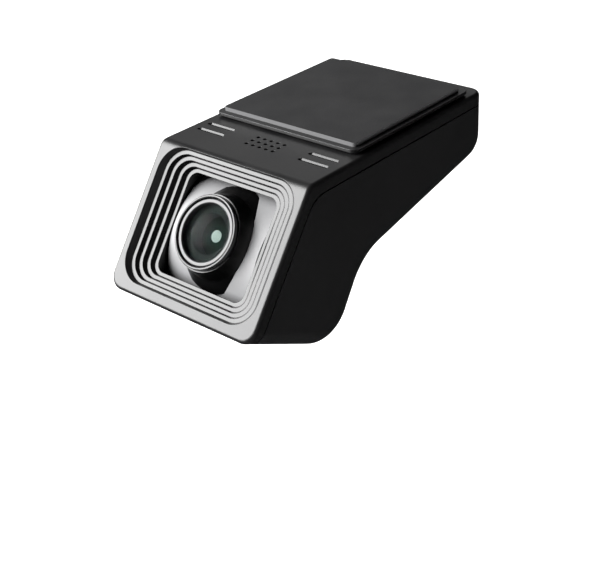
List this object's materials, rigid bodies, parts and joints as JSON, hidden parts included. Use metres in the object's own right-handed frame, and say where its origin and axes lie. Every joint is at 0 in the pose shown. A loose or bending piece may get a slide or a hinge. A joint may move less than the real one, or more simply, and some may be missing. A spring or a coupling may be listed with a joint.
{
  "type": "dash camera",
  "caption": "Wedge-shaped windscreen dash camera with a stepped front, a lens drum that tilts, and a stuck-on plate that it slides off.",
  "frame": {"origin": "middle of the adhesive face, on the pad that sticks to the windscreen", "axes": "+Z out of the adhesive face, -Y the way the lens looks, +X to the right seen from behind the camera"},
  "size_m": [0.0394, 0.0743, 0.0367],
  "materials": {
    "foam_tape": "matte closed-cell foam",
    "bracket_black": "fine grained",
    "casing_black": "fine grained satin",
    "surround_black": "satin",
    "drum_black": "satin",
    "trim_silver": "silver-grey satin paint",
    "ring_satin": "turned and bead blasted",
    "barrel_black": "black anodised",
    "lens_glass": "coated",
    "filter_glass": "blue-green",
    "holder_black": "matte",
    "chip_black": "matte epoxy",
    "board_green": "solder mask",
    "connector_white": "matte",
    "steel_screw": "black zinc",
    "steel_bright": "bright",
    "can_tin": "tinned",
    "spreader": "plain",
    "pad_grey": "soft",
    "boot_black": "matte",
    "sleeve_black": "shrink sleeve",
    "light_clear": "clear acrylic",
    "flex_amber": "polyimide",
    "speaker_black": "matte",
    "mesh_black": "fine woven",
    "card_black": "matte",
    "button_black": "satin"
  },
  "bodies": {
    "bracket": {"adhesive_pad": "foam_tape", "mount_bracket": "bracket_black"},
    "camera": {"backup_capacitors": "sleeve_black", "button_switch": "can_tin", "cable_connector": "connector_white", "card_socket": "can_tin", "detent_leaf": "steel_bright", "flex_cable": "flex_amber", "front_top_cover": "casing_black", "heat_spreader": "spreader", "housing_screws": "steel_screw", "left_pivot_bracket": "holder_black", "light_pipe": "light_clear", "main_board": "board_green", "main_housing": "casing_black", "memory_chip": "chip_black", "microphone": "can_tin", "microphone_boot": "boot_black", "pivot_screws": "steel_bright", "power_inductor": "chip_black", "processor": "chip_black", "right_pivot_bracket": "holder_black", "speaker": "speaker_black", "speaker_mesh": "mesh_black", "status_led": "connector_white", "stepped_surround": "surround_black", "thermal_pad": "pad_grey", "usb_socket": "can_tin", "wifi_antenna": "flex_amber", "wireless_can": "can_tin"},
    "lens_unit": {"lens_drum": "drum_black", "drum_trim": "trim_silver", "lens_trim_ring": "ring_satin", "lens_barrel": "barrel_black", "lens_spacer": "barrel_black", "front_lens": "lens_glass", "middle_lens": "lens_glass", "rear_lens": "lens_glass", "ir_filter": "filter_glass", "lens_holder": "holder_black", "image_sensor": "chip_black", "sensor_board": "board_green", "sensor_connector": "connector_white", "sensor_screws": "steel_bright", "friction_washers": "steel_bright"},
    "card": {"memory_card": "card_black"},
    "button": {"record_button": "button_black"}
  },
  "joints": [
    {"name": "camera_slide", "type": "slide", "parent": "bracket", "child": "camera", "axis": [0, -1, 0], "range_m": [0, 0.006]},
    {"name": "lens_tilt", "type": "hinge", "parent": "camera", "child": "lens_unit", "pos_m": [0, -0.02535, -0.02553], "axis": [1, 0, 0], "range_deg": [-5, 5]},
    {"name": "card_travel", "type": "slide", "parent": "camera", "child": "card", "axis": [-1, 0, 0], "range_m": [0, 0.012]},
    {"name": "button_press", "type": "slide", "parent": "camera", "child": "button", "axis": [1, 0, 0], "range_m": [0, 0.0005], "stiffness_N_per_m": 800}
  ]
}
